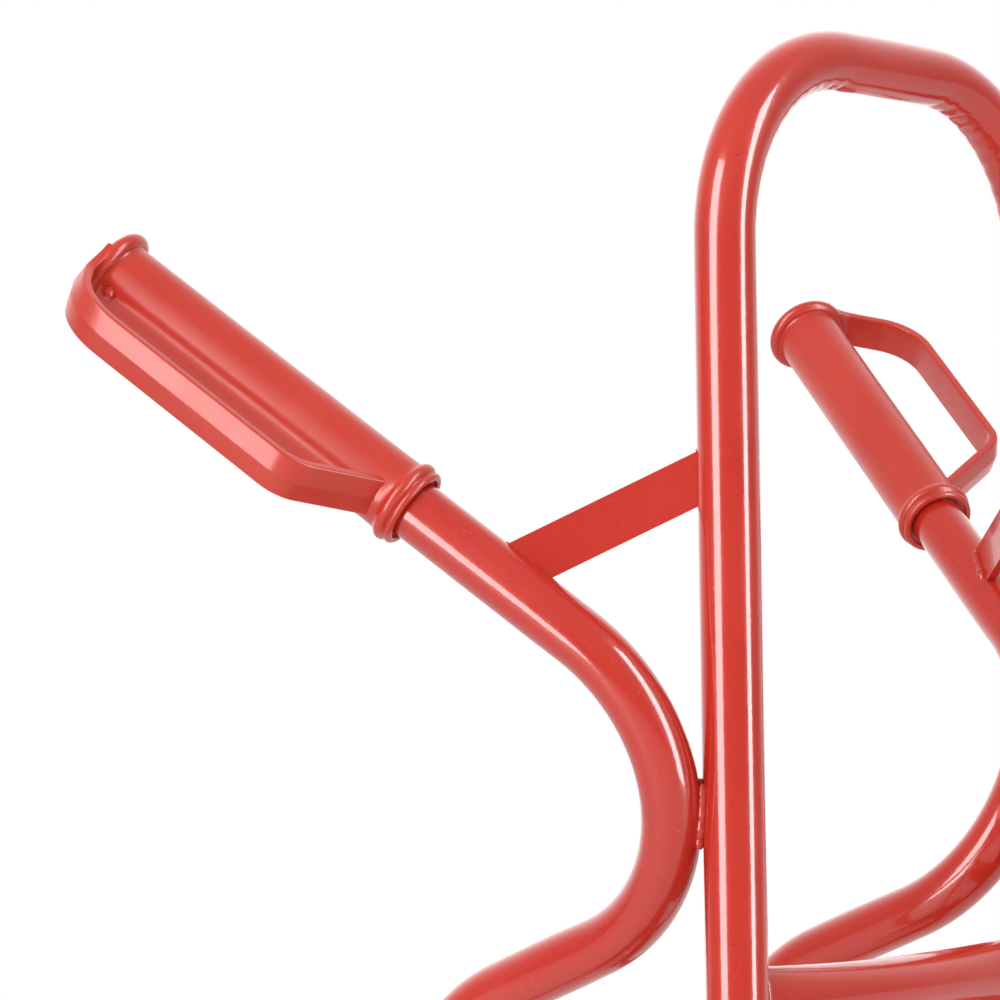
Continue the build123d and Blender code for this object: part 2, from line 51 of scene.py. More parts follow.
# ---------------------------------------------------------------- camera
CAMERA_PLACE = Vector((1.2997, 0.9117, 0.9095))
CAMERA_RIGHT = Vector((-0.65658, 0.75413, -0.01426))
CAMERA_UP = Vector((0.01836, 0.03489, 0.99922))
CAMERA_BACK = Vector((0.75404, 0.65581, -0.03676))
LENS, SENSOR = 135.2, 36.0   # mm
NEAR_CLIP = 0.05

camera_data = bpy.data.cameras.new("camera")
camera_data.lens = LENS
camera_data.sensor_width = SENSOR
camera_data.clip_start = NEAR_CLIP
camera = bpy.data.objects.new("camera", camera_data)
bpy.context.scene.collection.objects.link(camera)
camera.matrix_world = (
    Matrix.Translation(CAMERA_PLACE)
    @ Matrix((CAMERA_RIGHT, CAMERA_UP, CAMERA_BACK)).transposed().to_4x4()
)
bpy.context.scene.camera = camera


# ---------------------------------------------------------------- sizes of the frame, right side
TUBE_R = 12.5 * MM
BEND_R = 81 * MM
LEG_X = (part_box("main_loop")[1].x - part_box("main_loop")[0].x) / 2 - TUBE_R
LOOP_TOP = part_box("main_loop")[1].z - TUBE_R
PLATE_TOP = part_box("toe_plate")[1].z
HANDLE_SPLAY, HANDLE_RISE, REAR_DROOP = (math.radians(a) for a in (25.4, 37.9, 21.4))
VERTEX = Vector((LEG_X, 49.296 * MM, 830 * MM))
HANDLE_REACH = 378 * MM
REAR_CORNER = Vector((LEG_X, -179.809 * MM, 740.215 * MM))
AXLE = Vector((LEG_X, -120 * MM, 130 * MM))
TUBE_STOP = 28 * MM   # the handle tube's lower end, short of the axle's centre
GRIP_LENGTH, GRIP_WALL = 168 * MM, 3.5 * MM
GUARD_TURN = {"right": math.radians(-17), "left": math.radians(9)}
UP_WAY = Vector((
    math.sin(HANDLE_SPLAY) * math.cos(HANDLE_RISE),
    -math.cos(HANDLE_SPLAY) * math.cos(HANDLE_RISE),
    math.sin(HANDLE_RISE),
))
REAR_WAY = Vector((0, -math.cos(REAR_DROOP), -math.sin(REAR_DROOP)))
DOWN_WAY = (AXLE - REAR_CORNER).normalized()
HANDLE_END = VERTEX + UP_WAY * HANDLE_REACH
REAR_END = AXLE - DOWN_WAY * TUBE_STOP


# ---------------------------------------------------------------- materials
class Graph:
    """A material's node tree with short ways to add what the finishes share."""

    def __init__(self, name):
        self.material = bpy.data.materials.new(name)
        self.material.use_nodes = True
        self.tree = self.material.node_tree
        self.tree.nodes.clear()
        self.shader = self.add("ShaderNodeBsdfPrincipled")
        output = self.add("ShaderNodeOutputMaterial")
        self.link(self.shader.outputs["BSDF"], output.inputs["Surface"])
        self.place = self.add("ShaderNodeTexCoord").outputs["Object"]

    def add(self, kind, **values):
        node = self.tree.nodes.new(kind)
        for key, value in values.items():
            setattr(node, key, value)
        return node

    def link(self, out, into):
        self.tree.links.new(out, into)

    def noise(self, scale, detail=3.0, rough=0.5, stretch=None):
        """Noise at so many cells a metre; stretch scales the axes apart for a grain."""
        place = self.place
        if stretch:
            mapping = self.add("ShaderNodeMapping")
            mapping.inputs["Scale"].default_value = stretch
            self.link(self.place, mapping.inputs["Vector"])
            place = mapping.outputs["Vector"]
        node = self.add("ShaderNodeTexNoise")
        node.inputs["Scale"].default_value = scale
        node.inputs["Detail"].default_value = detail
        node.inputs["Roughness"].default_value = rough
        self.link(place, node.inputs["Vector"])
        return node.outputs["Fac"]

    def span(self, value, low, high, to_low=0.0, to_high=1.0):
        """The part of a value from low to high, laid out from to_low to to_high."""
        node = self.add("ShaderNodeMapRange")
        limits = {"From Min": low, "From Max": high, "To Min": to_low, "To Max": to_high}
        for key, number in limits.items():
            node.inputs[key].default_value = number
        self.link(value, node.inputs["Value"])
        return node.outputs["Result"]

    def mix(self, factor, first, second):
        """Two colours, each a tuple or an output, mixed by a factor."""
        node = self.add("ShaderNodeMix", data_type="RGBA")
        self.link(factor, node.inputs["Factor"])
        for socket, value in ((node.inputs[6], first), (node.inputs[7], second)):
            if isinstance(value, tuple):
                socket.default_value = (*value, 1.0)
            else:
                self.link(value, socket)
        return node.outputs[2]

    def bump(self, *layers):
        """Layers of (height, distance in metres), the finest last."""
        normal = None
        for height, distance in layers:
            node = self.add("ShaderNodeBump")
            node.inputs["Distance"].default_value = distance
            self.link(height, node.inputs["Height"])
            if normal:
                self.link(normal, node.inputs["Normal"])
            normal = node.outputs["Normal"]
        self.link(normal, self.shader.inputs["Normal"])

    def finish(self, **sockets):
        """Sets the shader's sockets, numbers and colours directly and outputs by link."""
        for key, value in sockets.items():
            socket = self.shader.inputs[key.replace("_", " ")]
            if isinstance(value, bpy.types.NodeSocket):
                self.link(value, socket)
            elif isinstance(value, tuple):
                socket.default_value = (*value, 1.0)
            else:
                socket.default_value = value
        return self.material


ENAMEL_DEEP, ENAMEL_LIGHT = (0.535, 0.024, 0.012), (0.59, 0.032, 0.017)
ENAMEL_PALE_SPECK, ENAMEL_DARK_SPECK = (0.70, 0.13, 0.09), (0.30, 0.020, 0.012)
PVC_DEEP, PVC_LIGHT, PVC_RUBBED = (0.53, 0.030, 0.014), (0.585, 0.040, 0.020), (0.72, 0.085, 0.052)
RIM_CLEAN, RIM_DUSTY = (0.56, 0.56, 0.57), (0.42, 0.40, 0.37)
METAL_SHADE = 0.72   # the duller patches of a metal, as a part of its colour


def red_paint(name, peel_depth, coat_roughness):
    """Glossy stoved enamel: faint orange peel, slow colour drift and a few specks of dust."""
    g = Graph(name)
    drift = g.span(g.noise(9, 2), 0.35, 0.65)
    pale_specks = g.span(g.noise(1100, 1, 0.4), 0.75, 0.80)
    dark_specks = g.span(g.noise(520, 1, 0.4), 0.775, 0.81)
    colour = g.mix(drift, ENAMEL_DEEP, ENAMEL_LIGHT)
    colour = g.mix(pale_specks, colour, ENAMEL_PALE_SPECK)
    colour = g.mix(dark_specks, colour, ENAMEL_DARK_SPECK)
    g.bump((g.noise(260, 2, 0.5), peel_depth))
    return g.finish(
        Base_Color=colour, Roughness=g.span(g.noise(40, 3), 0.3, 0.7, 0.18, 0.27),
        Specular_IOR_Level=0.3, Coat_Weight=0.7, Coat_Roughness=coat_roughness, IOR=1.5,
    )


def red_plastic():
    """Moulded PVC: satin skin with fine moulding grain and rubbed patches."""
    g = Graph("red_plastic")
    drift = g.span(g.noise(14, 3), 0.3, 0.7)
    scuffs = g.span(g.noise(120, 5, 0.7, (1, 1, 0.3)), 0.66, 0.80)
    colour = g.mix(scuffs, g.mix(drift, PVC_DEEP, PVC_LIGHT), PVC_RUBBED)
    g.bump((g.noise(70, 3), 0.00007), (g.noise(1500, 2), 0.000008))
    return g.finish(
        Base_Color=colour, Roughness=g.span(g.noise(55, 3), 0.3, 0.7, 0.30, 0.40),
        Specular_IOR_Level=0.35, Coat_Weight=0.25, Coat_Roughness=0.2,
    )


def metal(name, colour, rough, grain):
    """Plated or bare metal with fine scratches and patchy sheen."""
    g = Graph(name)
    patch = g.span(g.noise(60, 4), 0.3, 0.7)
    darker = tuple(c * METAL_SHADE for c in colour)
    g.bump((g.noise(300, 4, 0.6, grain), 0.00003))
    return g.finish(
        Base_Color=g.mix(patch, darker, colour), Metallic=1.0,
        Roughness=g.span(g.noise(120, 4, 0.6, grain), 0.3, 0.7, rough, rough + 0.18),
    )


def rim_paint():
    """Silver-grey enamel with patches of road dust."""
    g = Graph("rim_paint")
    dust = g.span(g.noise(30, 5, 0.6), 0.45, 0.75)
    g.bump((g.noise(320, 2), 0.0001))
    return g.finish(
        Base_Color=g.mix(dust, RIM_CLEAN, RIM_DUSTY), Metallic=0.35,
        Roughness=g.span(g.noise(45, 3), 0.3, 0.7, 0.28, 0.45),
        Coat_Weight=0.3, Coat_Roughness=0.15,
    )


def rubber(name, colour, dusty, rough):
    """Rubber or black plastic with a grainy skin and pale dust on its surface."""
    g = Graph(name)
    dust = g.span(g.noise(25, 6, 0.65), 0.48, 0.8)
    g.bump((g.noise(180, 4), 0.0002), (g.noise(1400, 3), 0.00006))
    return g.finish(
        Base_Color=g.mix(dust, colour, dusty),
        Roughness=g.span(g.noise(90, 3), 0.3, 0.7, rough, rough + 0.2), Specular_IOR_Level=0.35,
    )


FINISHES = {
    "red_paint": red_paint("red_paint", 0.00009, 0.05),
    "weld_paint": red_paint("weld_paint", 0.00021, 0.23),
    "red_plastic": red_plastic(),
    "rim_paint": rim_paint(),
    "zinc_plate": metal("zinc_plate", (0.74, 0.75, 0.76), 0.24, (1, 1, 6)),
    "bearing_steel": metal("bearing_steel", (0.62, 0.62, 0.63), 0.12, (1, 8, 8)),
    "valve_brass": metal("valve_brass", (0.78, 0.58, 0.28), 0.22, (6, 1, 1)),
    "tyre_rubber": rubber("tyre_rubber", (0.022, 0.022, 0.023), (0.085, 0.080, 0.074), 0.62),
    "butyl_rubber": rubber("butyl_rubber", (0.030, 0.030, 0.031), (0.05, 0.05, 0.05), 0.5),
    "black_plastic": rubber("black_plastic", (0.028, 0.028, 0.030), (0.05, 0.05, 0.05), 0.38),
}


def dress(obj, finish):
    obj.data.materials.clear()
    obj.data.materials.append(FINISHES[finish])


# ---------------------------------------------------------------- mesh helpers
def new_piece(name, points, faces, finish, body, stands_for=None, sharp=None):
    """A smooth mesh that rides on a body; edges sharper than so many degrees stay crisp."""
    mesh = bpy.data.meshes.new(name)
    mesh.from_pydata([tuple(p) for p in points], [], faces)
    mesh.validate()
    mesh.update()
    obj = bpy.data.objects.new(name, mesh)
    bpy.context.scene.collection.objects.link(obj)
    for polygon in mesh.polygons:
        polygon.use_smooth = True
    if sharp:
        mesh.set_sharp_from_angle(angle=math.radians(sharp))
    dress(obj, finish)
    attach(obj, body)
    if stands_for:
        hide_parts(stands_for)
    return obj


def angles(count):
    """So many equal steps round a full turn."""
    return [2 * math.pi * k / count for k in range(count)]


def heading(line, i):
    """Direction of a line of points at its point i."""
    return (line[min(i + 1, len(line) - 1)] - line[max(i - 1, 0)]).normalized()


def rounded_line(points, radii, bend_step=math.radians(2.5), run_step=12 * MM):
    """Points along straight runs joined by round bends."""
    points = [Vector(p) for p in points]
    line = [points[0]]

    def run_to(end):
        start = line[-1]
        count = max(1, int((end - start).length / run_step))
        line.extend(start.lerp(end, (i + 1) / count) for i in range(count))

    for before, corner, after, radius in zip(points, points[1:], points[2:], radii):
        back, ahead = (before - corner).normalized(), (after - corner).normalized()
        half = back.angle(ahead) / 2
        turn = math.pi - 2 * half
        run_to(corner + back * (radius / math.tan(half)))
        centre = corner + (back + ahead).normalized() * (radius / math.sin(half))
        spoke = line[-1] - centre
        axis = back.cross(ahead).normalized()
        count = max(2, int(turn / bend_step))
        line.extend(
            centre + Matrix.Rotation(-turn * (i + 1) / count, 3, axis) @ spoke
            for i in range(count)
        )
    run_to(points[-1])
    return line


def rounded_section(corners, radii, steps=4):
    """Closed outline with each corner rounded."""
    outline = []
    count = len(corners)
    for i, radius in enumerate(radii):
        before, corner, after = (Vector(corners[(i + k) % count]) for k in (-1, 0, 1))
        back, ahead = (before - corner).normalized(), (after - corner).normalized()
        start, end = corner + back * radius, corner + ahead * radius
        for step in range(steps + 1):
            t = step / steps
            p = start * (1 - t) ** 2 + corner * 2 * t * (1 - t) + end * t**2
            outline.append((p.x, p.y))
    return outline


def arc(centre_r, centre_z, radius, start, end, steps):
    """Points (radius, along) on an arc between two angles in degrees."""
    turns = [math.radians(start + (end - start) * i / steps) for i in range(steps + 1)]
    return [(centre_r + radius * math.cos(t), centre_z + radius * math.sin(t)) for t in turns]


def arc_through(a, b, c, count):
    """Points on the circle through a, b and c, from a to c."""
    (ax, ay), (bx, by), (cx, cy) = a, b, c
    a2, b2, c2 = ax**2 + ay**2, bx**2 + by**2, cx**2 + cy**2
    d = 2 * (ax * (by - cy) + bx * (cy - ay) + cx * (ay - by))
    centre_x = (a2 * (by - cy) + b2 * (cy - ay) + c2 * (ay - by)) / d
    centre_y = (a2 * (cx - bx) + b2 * (ax - cx) + c2 * (bx - ax)) / d
    radius = math.hypot(ax - centre_x, ay - centre_y)
    first = math.atan2(ay - centre_y, ax - centre_x)
    last = math.atan2(cy - centre_y, cx - centre_x)
    if last < first - math.pi:
        last += 2 * math.pi
    if last > first + math.pi:
        last -= 2 * math.pi
    turns = [first + (last - first) * i / count for i in range(count + 1)]
    return [(centre_x + radius * math.cos(t), centre_y + radius * math.sin(t)) for t in turns]


def skin(rows):
    """Points and faces of closed rings joined one to the next."""
    count = len(rows[0])
    points = [p for row in rows for p in row]
    faces = []
    for r in range(len(rows) - 1):
        for i in range(count):
            j = (i + 1) % count
            faces.append((r * count + i, r * count + j, (r + 1) * count + j, (r + 1) * count + i))
    return points, faces


def cap(faces, start, count, reverse=False):
    ring = list(range(start, start + count))
    faces.append(tuple(reversed(ring)) if reverse else tuple(ring))


def lathe(profile, sides):
    """Turned shape about Z from (radius, along) in mm, closed at its last ring."""
    points, faces = skin([
        [Vector((radius * MM * math.cos(a), radius * MM * math.sin(a), along * MM))
         for a in angles(sides)]
        for radius, along in profile
    ])
    cap(faces, (len(profile) - 1) * sides, sides)
    return points, faces


def dome(centre, normal, radius, height, rings=5, sides=16):
    """Small rounded lump standing on a face."""
    normal = normal.normalized()
    side = normal.orthogonal().normalized()
    other = normal.cross(side)
    rows = []
    for r in range(rings):
        rise = math.pi / 2 * r / rings
        rows.append([
            centre + (side * math.cos(a) + other * math.sin(a)) * radius * math.cos(rise)
            + normal * height * math.sin(rise)
            for a in angles(sides)
        ])
    points, faces = skin(rows)
    points.append(centre + normal * height)
    last = (rings - 1) * sides
    faces.extend((last + k, last + (k + 1) % sides, rings * sides) for k in range(sides))
    return points, faces


def mirrored(points, faces, side):
    """The left piece is the right one seen in a mirror, its faces turned back outwards."""
    if side == "right":
        return points, faces
    return [Vector((-p.x, p.y, p.z)) for p in points], [tuple(reversed(f)) for f in faces]


# ---------------------------------------------------------------- bent tubes
TUBE_SIDES = 64
TUBE_WALL = 1.5 * MM
BEND_EASE = 25 * MM                           # run over which a bend's flattening fades out
BEND_SWELL, BEND_FLATTEN = 0.012, 0.04        # as parts of the tube's radius
WRINKLE_PITCH, WRINKLE_DEPTH = 10.5 * MM, 0.5 * MM
STRAIGHT = 1e-9                               # a turn smaller than this is none


def turning_axes(line):
    """Axis of the turn at each point of a line, None on its straight runs."""
    axes = []
    for i in range(len(line)):
        a, b, c = line[max(i - 1, 0)], line[i], line[min(i + 1, len(line) - 1)]
        cross = (b - a).cross(c - b)
        axes.append(cross.normalized() if cross.length > STRAIGHT else None)
    return axes


def bent_tube(name, points, stands_for, side="right", wrinkles=False):
    """Round tube; in each bend it is a little flat, and the inner side of a bend may ripple."""
    line = rounded_line(points, [BEND_R] * (len(points) - 2))
    axes = turning_axes(line)
    turns = [i for i, axis in enumerate(axes) if axis]
    span = [0.0]
    for a, b in zip(line, line[1:]):
        span.append(span[-1] + (b - a).length)
    rows = []
    side_way = axes[turns[0]]
    for i, point in enumerate(line):
        bent = max(0.0, 1 - min(abs(span[i] - span[t]) for t in turns) / BEND_EASE) ** 2
        ahead = heading(line, i)
        side_way = (side_way - ahead * side_way.dot(ahead)).normalized()
        other_way = ahead.cross(side_way)
        inward = axes[min(turns, key=lambda t: abs(t - i))].cross(ahead)
        row = []
        for angle in angles(TUBE_SIDES):
            spoke = side_way * math.cos(angle) + other_way * math.sin(angle)
            facing = spoke.dot(inward)
            radius = TUBE_R * (1 + bent * (BEND_SWELL - BEND_FLATTEN * facing**2))
            if wrinkles and facing > 0:
                ripple = math.sin(2 * math.pi * span[i] / WRINKLE_PITCH)
                radius += WRINKLE_DEPTH * bent**2 * facing**3 * ripple
            row.append(point + spoke * radius)
        rows.append(row)
    points_out, faces = mirrored(*skin(rows), side)
    obj = new_piece(name, points_out, faces, "red_paint", "frame", stands_for)
    wall = obj.modifiers.new("wall", "SOLIDIFY")
    wall.thickness = TUBE_WALL
    wall.offset = -1


HANDLE_CORNERS = (HANDLE_END, VERTEX, REAR_CORNER, REAR_END)
LOOP_CORNERS = (
    (LEG_X, 0, PLATE_TOP), (LEG_X, 0, LOOP_TOP), (-LEG_X, 0, LOOP_TOP), (-LEG_X, 0, PLATE_TOP),
)
bent_tube("loop_tube", LOOP_CORNERS, "main_loop", wrinkles=True)
for side_name in SIDES:
    bent_tube(
        f"handle_bar_{side_name}", HANDLE_CORNERS, f"handle_tube_{side_name}", side=side_name,
    )


# ---------------------------------------------------------------- grips
# Half section of the grip, (radius, along) in mm: from inside the bore over the mouth's lip, the
# collar's bead and the barrel to the flange and the closed end.
BARREL_R = 15.75
GRIP_PROFILE = (
    [(12.65, 60.0), (12.65, 2.6), (14.3, 2.3), (14.3, 0.9)]
    + arc(14.9, 0.9, 0.6, 180, 270, 4)
    + arc(15.5, 1.8, 1.6, -90, 60, 12)
    + arc(15.6, 6.0, 2.6, -72, 62, 12)
    + [(16.3, 9.0), (15.95, 10.0), (15.85, 12.0)]
    + [(BARREL_R, along) for along in (18.0, 60.0, 110.0, 157.5)]
    + [(15.85, 158.8)]
    + arc(16.6, 163.0, 3.3, -95, 65, 14)
    + [(16.6, 166.9), (15.0, 167.3), (10.0, 167.8), (5.0, 168.0)]
)
GRIP_SIDES = 160
GRIP_SHARP = 50   # degrees

# Inner face of each guard in its own plane: (out from the tube's axis, along from the collar), mm.
GUARD_ROUTES = {
    "right": ((11.0, 163.2), (23.0, 162.0), (45.9, 150.0), (46.9, 39.6), (11.5, 16.2)),
    "left": ((11.0, 163.2), (22.0, 162.2), (49.4, 146.0), (49.8, 49.0), (11.5, 21.5)),
}
GUARD_BENDS = (14 * MM, 27 * MM, 13 * MM)
GUARD_BEND_STEP, GUARD_RUN_STEP = math.radians(4), 3 * MM
GUARD_MIDDLE = Vector((0, 0, 90 * MM))
# The guard's section, (outward, across) in mm, creased along the middle of its outer face.
GUARD_HALF = 8.75
GUARD_SECTION = ((0, -GUARD_HALF), (3.9, -GUARD_HALF), (5.3, 0), (3.9, GUARD_HALF), (0, GUARD_HALF))
GUARD_EDGES = (0.7, 0.8, 0.5, 0.8, 0.7)
# Where the guard leaves the flange it flares, all in mm, but stays inside the flange's rim.
FLARE_WIDTH, FLARE_FROM, FLARE_RUN, FLARE_LEAST = 3.4, 25, 9, 9
FLANGE_NEAR, FLANGE_INSIDE = 16, 19.2
PIP_PLACE, PIP_WAY = Vector((0.0155, 0, 0.1545)), Vector((1, 0, -0.5))
PIP_RADIUS, PIP_HEIGHT = 2.8 * MM, 4.5 * MM


def grip_space():
    """Matrix from the grip's own axes (out, sideways, along) to the truck, right side."""
    start = HANDLE_END - UP_WAY * (GRIP_LENGTH - GRIP_WALL)
    out = Vector((-UP_WAY.y, UP_WAY.x, 0)).normalized()
    across = UP_WAY.cross(out)
    return Matrix.Translation(start) @ Matrix((out, across, UP_WAY)).transposed().to_4x4()


def flared_half(out):
    """Half the guard's width, in mm, so far out from the tube's axis at the flange end."""
    flared = GUARD_HALF + FLARE_WIDTH * max(0.0, (FLARE_FROM - out) / FLARE_RUN) ** 2
    if out >= FLANGE_NEAR:
        return flared
    return min(flared, math.sqrt(max(FLANGE_INSIDE**2 - out**2, FLARE_LEAST**2)))


def guard_strip(side):
    """The hand guard, a strip with a creased outer face, from the end flange to the collar."""
    line = rounded_line(
        [(out * MM, 0, along * MM) for out, along in GUARD_ROUTES[side]],
        GUARD_BENDS, GUARD_BEND_STEP, GUARD_RUN_STEP,
    )
    crease = rounded_section(GUARD_SECTION, GUARD_EDGES)
    rows = []
    for i, point in enumerate(line):
        ahead = heading(line, i)
        outward = Vector((-ahead.z, 0, ahead.x))
        if outward.dot(point - GUARD_MIDDLE) < 0:
            outward = -outward
        wide = flared_half(point.x / MM) / GUARD_HALF if point.z > GUARD_MIDDLE.z else 1.0
        rows.append([
            point + outward * a * MM + Vector((0, b * wide * MM, 0)) for a, b in crease
        ])
    points, faces = skin(rows)
    cap(faces, 0, len(crease), True)
    cap(faces, (len(rows) - 1) * len(crease), len(crease))
    return points, faces


def make_grip(side):
    space = grip_space()
    spin = Matrix.Rotation(GUARD_TURN[side], 4, "Z")
    guard_points, guard_faces = guard_strip(side)
    shapes = {
        "grip_body": lathe(GRIP_PROFILE, GRIP_SIDES),
        "grip_guard": ([spin @ p for p in guard_points], guard_faces),
        "grip_pip": dome(spin @ PIP_PLACE, spin @ PIP_WAY, PIP_RADIUS, PIP_HEIGHT),
    }
    for name, (points, faces) in shapes.items():
        points, faces = mirrored([space @ p for p in points], faces, side)
        new_piece(
            f"{name}_{side}", points, faces, "red_plastic", "frame",
            f"grip_{side}", GRIP_SHARP,
        )


for side_name in SIDES:
    make_grip(side_name)


# ---------------------------------------------------------------- weld beads
BEAD_STEP = 0.55 * MM
BEAD_SIDES = 12
BEAD_PITCH, BEAD_RIPPLE = 2.9 * MM, 0.05      # the regular ripple, as a part of the bead's size
LUMP_SIZE, LUMP_SCALE, LUMP_DRIFT = 0.24, 190, 40
BEAD_END_STEPS, BEAD_END_LEAST = 4, 0.05      # how a bead's ends taper off
SINK = 0.3 * MM                               # how far a bead's middle stands off the metal
BRACE_END_Z = 977.5 * MM
BRACE_WELD_RISE, BRACE_CORNER_RISE = 9.5, 10.2    # mm from the brace's middle
BAR_HALF_THICK = 7.8 * MM
PLATE_HALF = 3.2 * MM                         # from a gusset's or bracket's middle to its beads
BRACE_HALF = 2.6 * MM
SLOT_HALF, SLOT_LENGTH = 3.0 * MM, 20 * MM
BRACKET_LOW = 76 * MM


def bead(name, path, radius, closed=False):
    """Lumpy weld run along a path, its ripples a few millimetres apart."""
    if closed:
        path = [*path, path[0]]
    line = [path[0]]
    for a, b in zip(path, path[1:]):
        count = max(1, int((b - a).length / BEAD_STEP))
        line.extend(a.lerp(b, (i + 1) / count) for i in range(count))
    length = len(line)
    span = 0.0
    rows = []
    normal = heading(line, 0).orthogonal()
    for i, point in enumerate(line):
        ahead = heading(line, i)
        normal = (normal - ahead * normal.dot(ahead)).normalized()
        other = ahead.cross(normal)
        span += (point - line[max(i - 1, 0)]).length
        ripple = 1 + BEAD_RIPPLE * math.cos(2 * math.pi * span / BEAD_PITCH)
        lump_place = point * LUMP_SCALE + Vector((span * LUMP_DRIFT, 3.1, 0))
        ripple += LUMP_SIZE * noise.noise(lump_place)
        to_end = min(i, length - 1 - i) / BEAD_END_STEPS
        taper = math.sqrt(max(BEAD_END_LEAST, 1 - max(0.0, 1 - to_end) ** 2))
        size = radius * ripple * (1.0 if closed else taper)
        rows.append([
            point + normal * math.cos(a) * size + other * math.sin(a) * size
            for a in angles(BEAD_SIDES)
        ])
    points, faces = skin(rows)
    if not closed:
        cap(faces, 0, BEAD_SIDES, True)
        cap(faces, (len(rows) - 1) * BEAD_SIDES, BEAD_SIDES)
    new_piece(name, points, faces, "weld_paint", "frame")


def flip(path, side):
    return [Vector((SIDES[side] * p.x, p.y, p.z)) for p in path]


def on_tube(spot, centre, axis, toward, proud):
    """The point of a tube's skin beside a spot, on the side that looks toward, a little proud."""
    foot = centre + axis * (spot - centre).dot(axis)
    lean = (spot - foot) - toward * (spot - foot).dot(toward)
    reach = math.sqrt(max(TUBE_R**2 - lean.length_squared, 0))
    return foot + lean + toward * (reach + proud)


handle_line = rounded_line(HANDLE_CORNERS, (BEND_R, BEND_R))
touch = min(handle_line, key=lambda p: (p.x - LEG_X) ** 2 + p.y**2)


def contact_beads(side):
    """A run in each of the two grooves where the handle tube touches the upright."""
    beside = [p for p in handle_line if abs(p.z - touch.z) <= 50 * MM]
    for label, way, low, high in (("outer", 1, -16, 10), ("inner", -1, -13, 12)):
        path = []
        for step in range(13):
            z = touch.z + (low + (high - low) * step / 12) * MM
            near = min(beside, key=lambda p: abs(p.z - z))
            leg = Vector((LEG_X, 0, z))
            gap = Vector((near.x - leg.x, near.y - leg.y, 0))
            across = gap.normalized().cross(Vector((0, 0, 1))) * way
            path.append(leg + gap / 2 - across * 4.4 * MM)
        bead(f"weld_handle_{label}_{side}", flip(path, side), 2.1 * MM)


def brace_beads(side):
    """Runs along the inner face of the upper brace at both ends, and over its corners."""
    to_straight = BEND_R * math.tan((math.pi - UP_WAY.angle(REAR_WAY)) / 2)
    start = VERTEX + UP_WAY * (to_straight + 40 * MM)
    end = Vector((LEG_X, 0, BRACE_END_Z))
    way = (end - start).normalized()
    level = Vector((-way.y, way.x, 0)).normalized()
    tall = way.cross(level).normalized()
    if tall.z < 0:
        tall = -tall
    inner = level if level.x < 0 else -level
    for label, centre, axis, toward in (
        ("handle", start, UP_WAY, way), ("upright", end, Vector((0, 0, 1)), -way)
    ):
        path = []
        for step in range(9):
            rise = (-1 + 2 * step / 8) * BRACE_WELD_RISE * MM
            spot = centre + tall * rise + inner * BRACE_HALF
            path.append(on_tube(spot, centre, axis, toward, 0.4 * MM))
        bead(f"weld_brace_{label}_{side}", flip(path, side), 2.4 * MM)
        for corner, rise in (("top", BRACE_CORNER_RISE), ("bottom", -BRACE_CORNER_RISE)):
            path = []
            for step in range(5):
                spot = centre + tall * rise * MM + inner * (2.0 - step) * MM
                path.append(on_tube(spot, centre, axis, toward, 0.2 * MM))
            bead(f"weld_brace_{label}_{corner}_{side}", flip(path, side), 1.1 * MM)


def crossbar_beads(name, side):
    """Run round the pressed oval end of a cross bar, on the upright."""
    low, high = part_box(name)
    middle = (low.z + high.z) / 2
    tall = (high.z - low.z) / 2 + SINK
    path = []
    for angle in angles(48):
        y = BAR_HALF_THICK * math.cos(angle)
        x = LEG_X - math.sqrt(TUBE_R**2 - y**2) - SINK
        path.append(Vector((x, y, middle + tall * math.sin(angle))))
    bead(f"weld_{name}_{side}", flip(path, side), 1.7 * MM, closed=True)


def foot_beads(side):
    """Round the foot of an upright, both sides of its gusset, axle bracket and lower brace."""
    ring = TUBE_R + 0.8 * MM
    path = [
        Vector((LEG_X + ring * math.cos(a), ring * math.sin(a), PLATE_TOP + 0.6 * MM))
        for a in angles(48)
    ]
    bead(f"weld_foot_{side}", flip(path, side), 2.4 * MM, closed=True)
    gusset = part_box("toe_gusset_right")
    bracket_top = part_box("axle_bracket_right")[1].z - 6 * MM
    inset = 4 * MM
    out = math.sqrt(TUBE_R**2 - PLATE_HALF**2) + SINK
    for label, way in (("outer", 1), ("inner", -1)):
        edge = LEG_X + way * PLATE_HALF
        plate_run = [
            Vector((edge, y, PLATE_TOP + 0.5 * MM))
            for y in (gusset[0].y + inset, gusset[1].y - inset)
        ]
        upright_run = [Vector((edge, out, z)) for z in (PLATE_TOP + inset, gusset[1].z - inset)]
        bracket_run = [Vector((edge, -out, z)) for z in (BRACKET_LOW, bracket_top)]
        bead(f"weld_gusset_plate_{label}_{side}", flip(plate_run, side), 2.0 * MM)
        bead(f"weld_gusset_upright_{label}_{side}", flip(upright_run, side), 2.0 * MM)
        bead(f"weld_bracket_{label}_{side}", flip(bracket_run, side), 2.0 * MM)
        slot = [
            REAR_END - DOWN_WAY * reach + Vector((way * SLOT_HALF, 0, 0))
            for reach in (0, SLOT_LENGTH)
        ]
        for face, facing in (("front", 1), ("back", -1)):
            shift = Vector((0, facing * (TUBE_R - 0.2 * MM), 0))
            slot_run = [p + shift for p in slot]
            bead(f"weld_slot_{face}_{label}_{side}", flip(slot_run, side), 1.6 * MM)
    low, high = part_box("lower_brace_right")
    for label, y in (("upright", -TUBE_R - SINK), ("tube", low.y + 1.5 * MM)):
        for face, way in (("outer", 1), ("inner", -1)):
            x = LEG_X + way * BRACE_HALF
            run = [Vector((x, y, z)) for z in (low.z + 1 * MM, high.z - 1 * MM)]
            bead(f"weld_lower_brace_{label}_{face}_{side}", flip(run, side), 1.8 * MM)


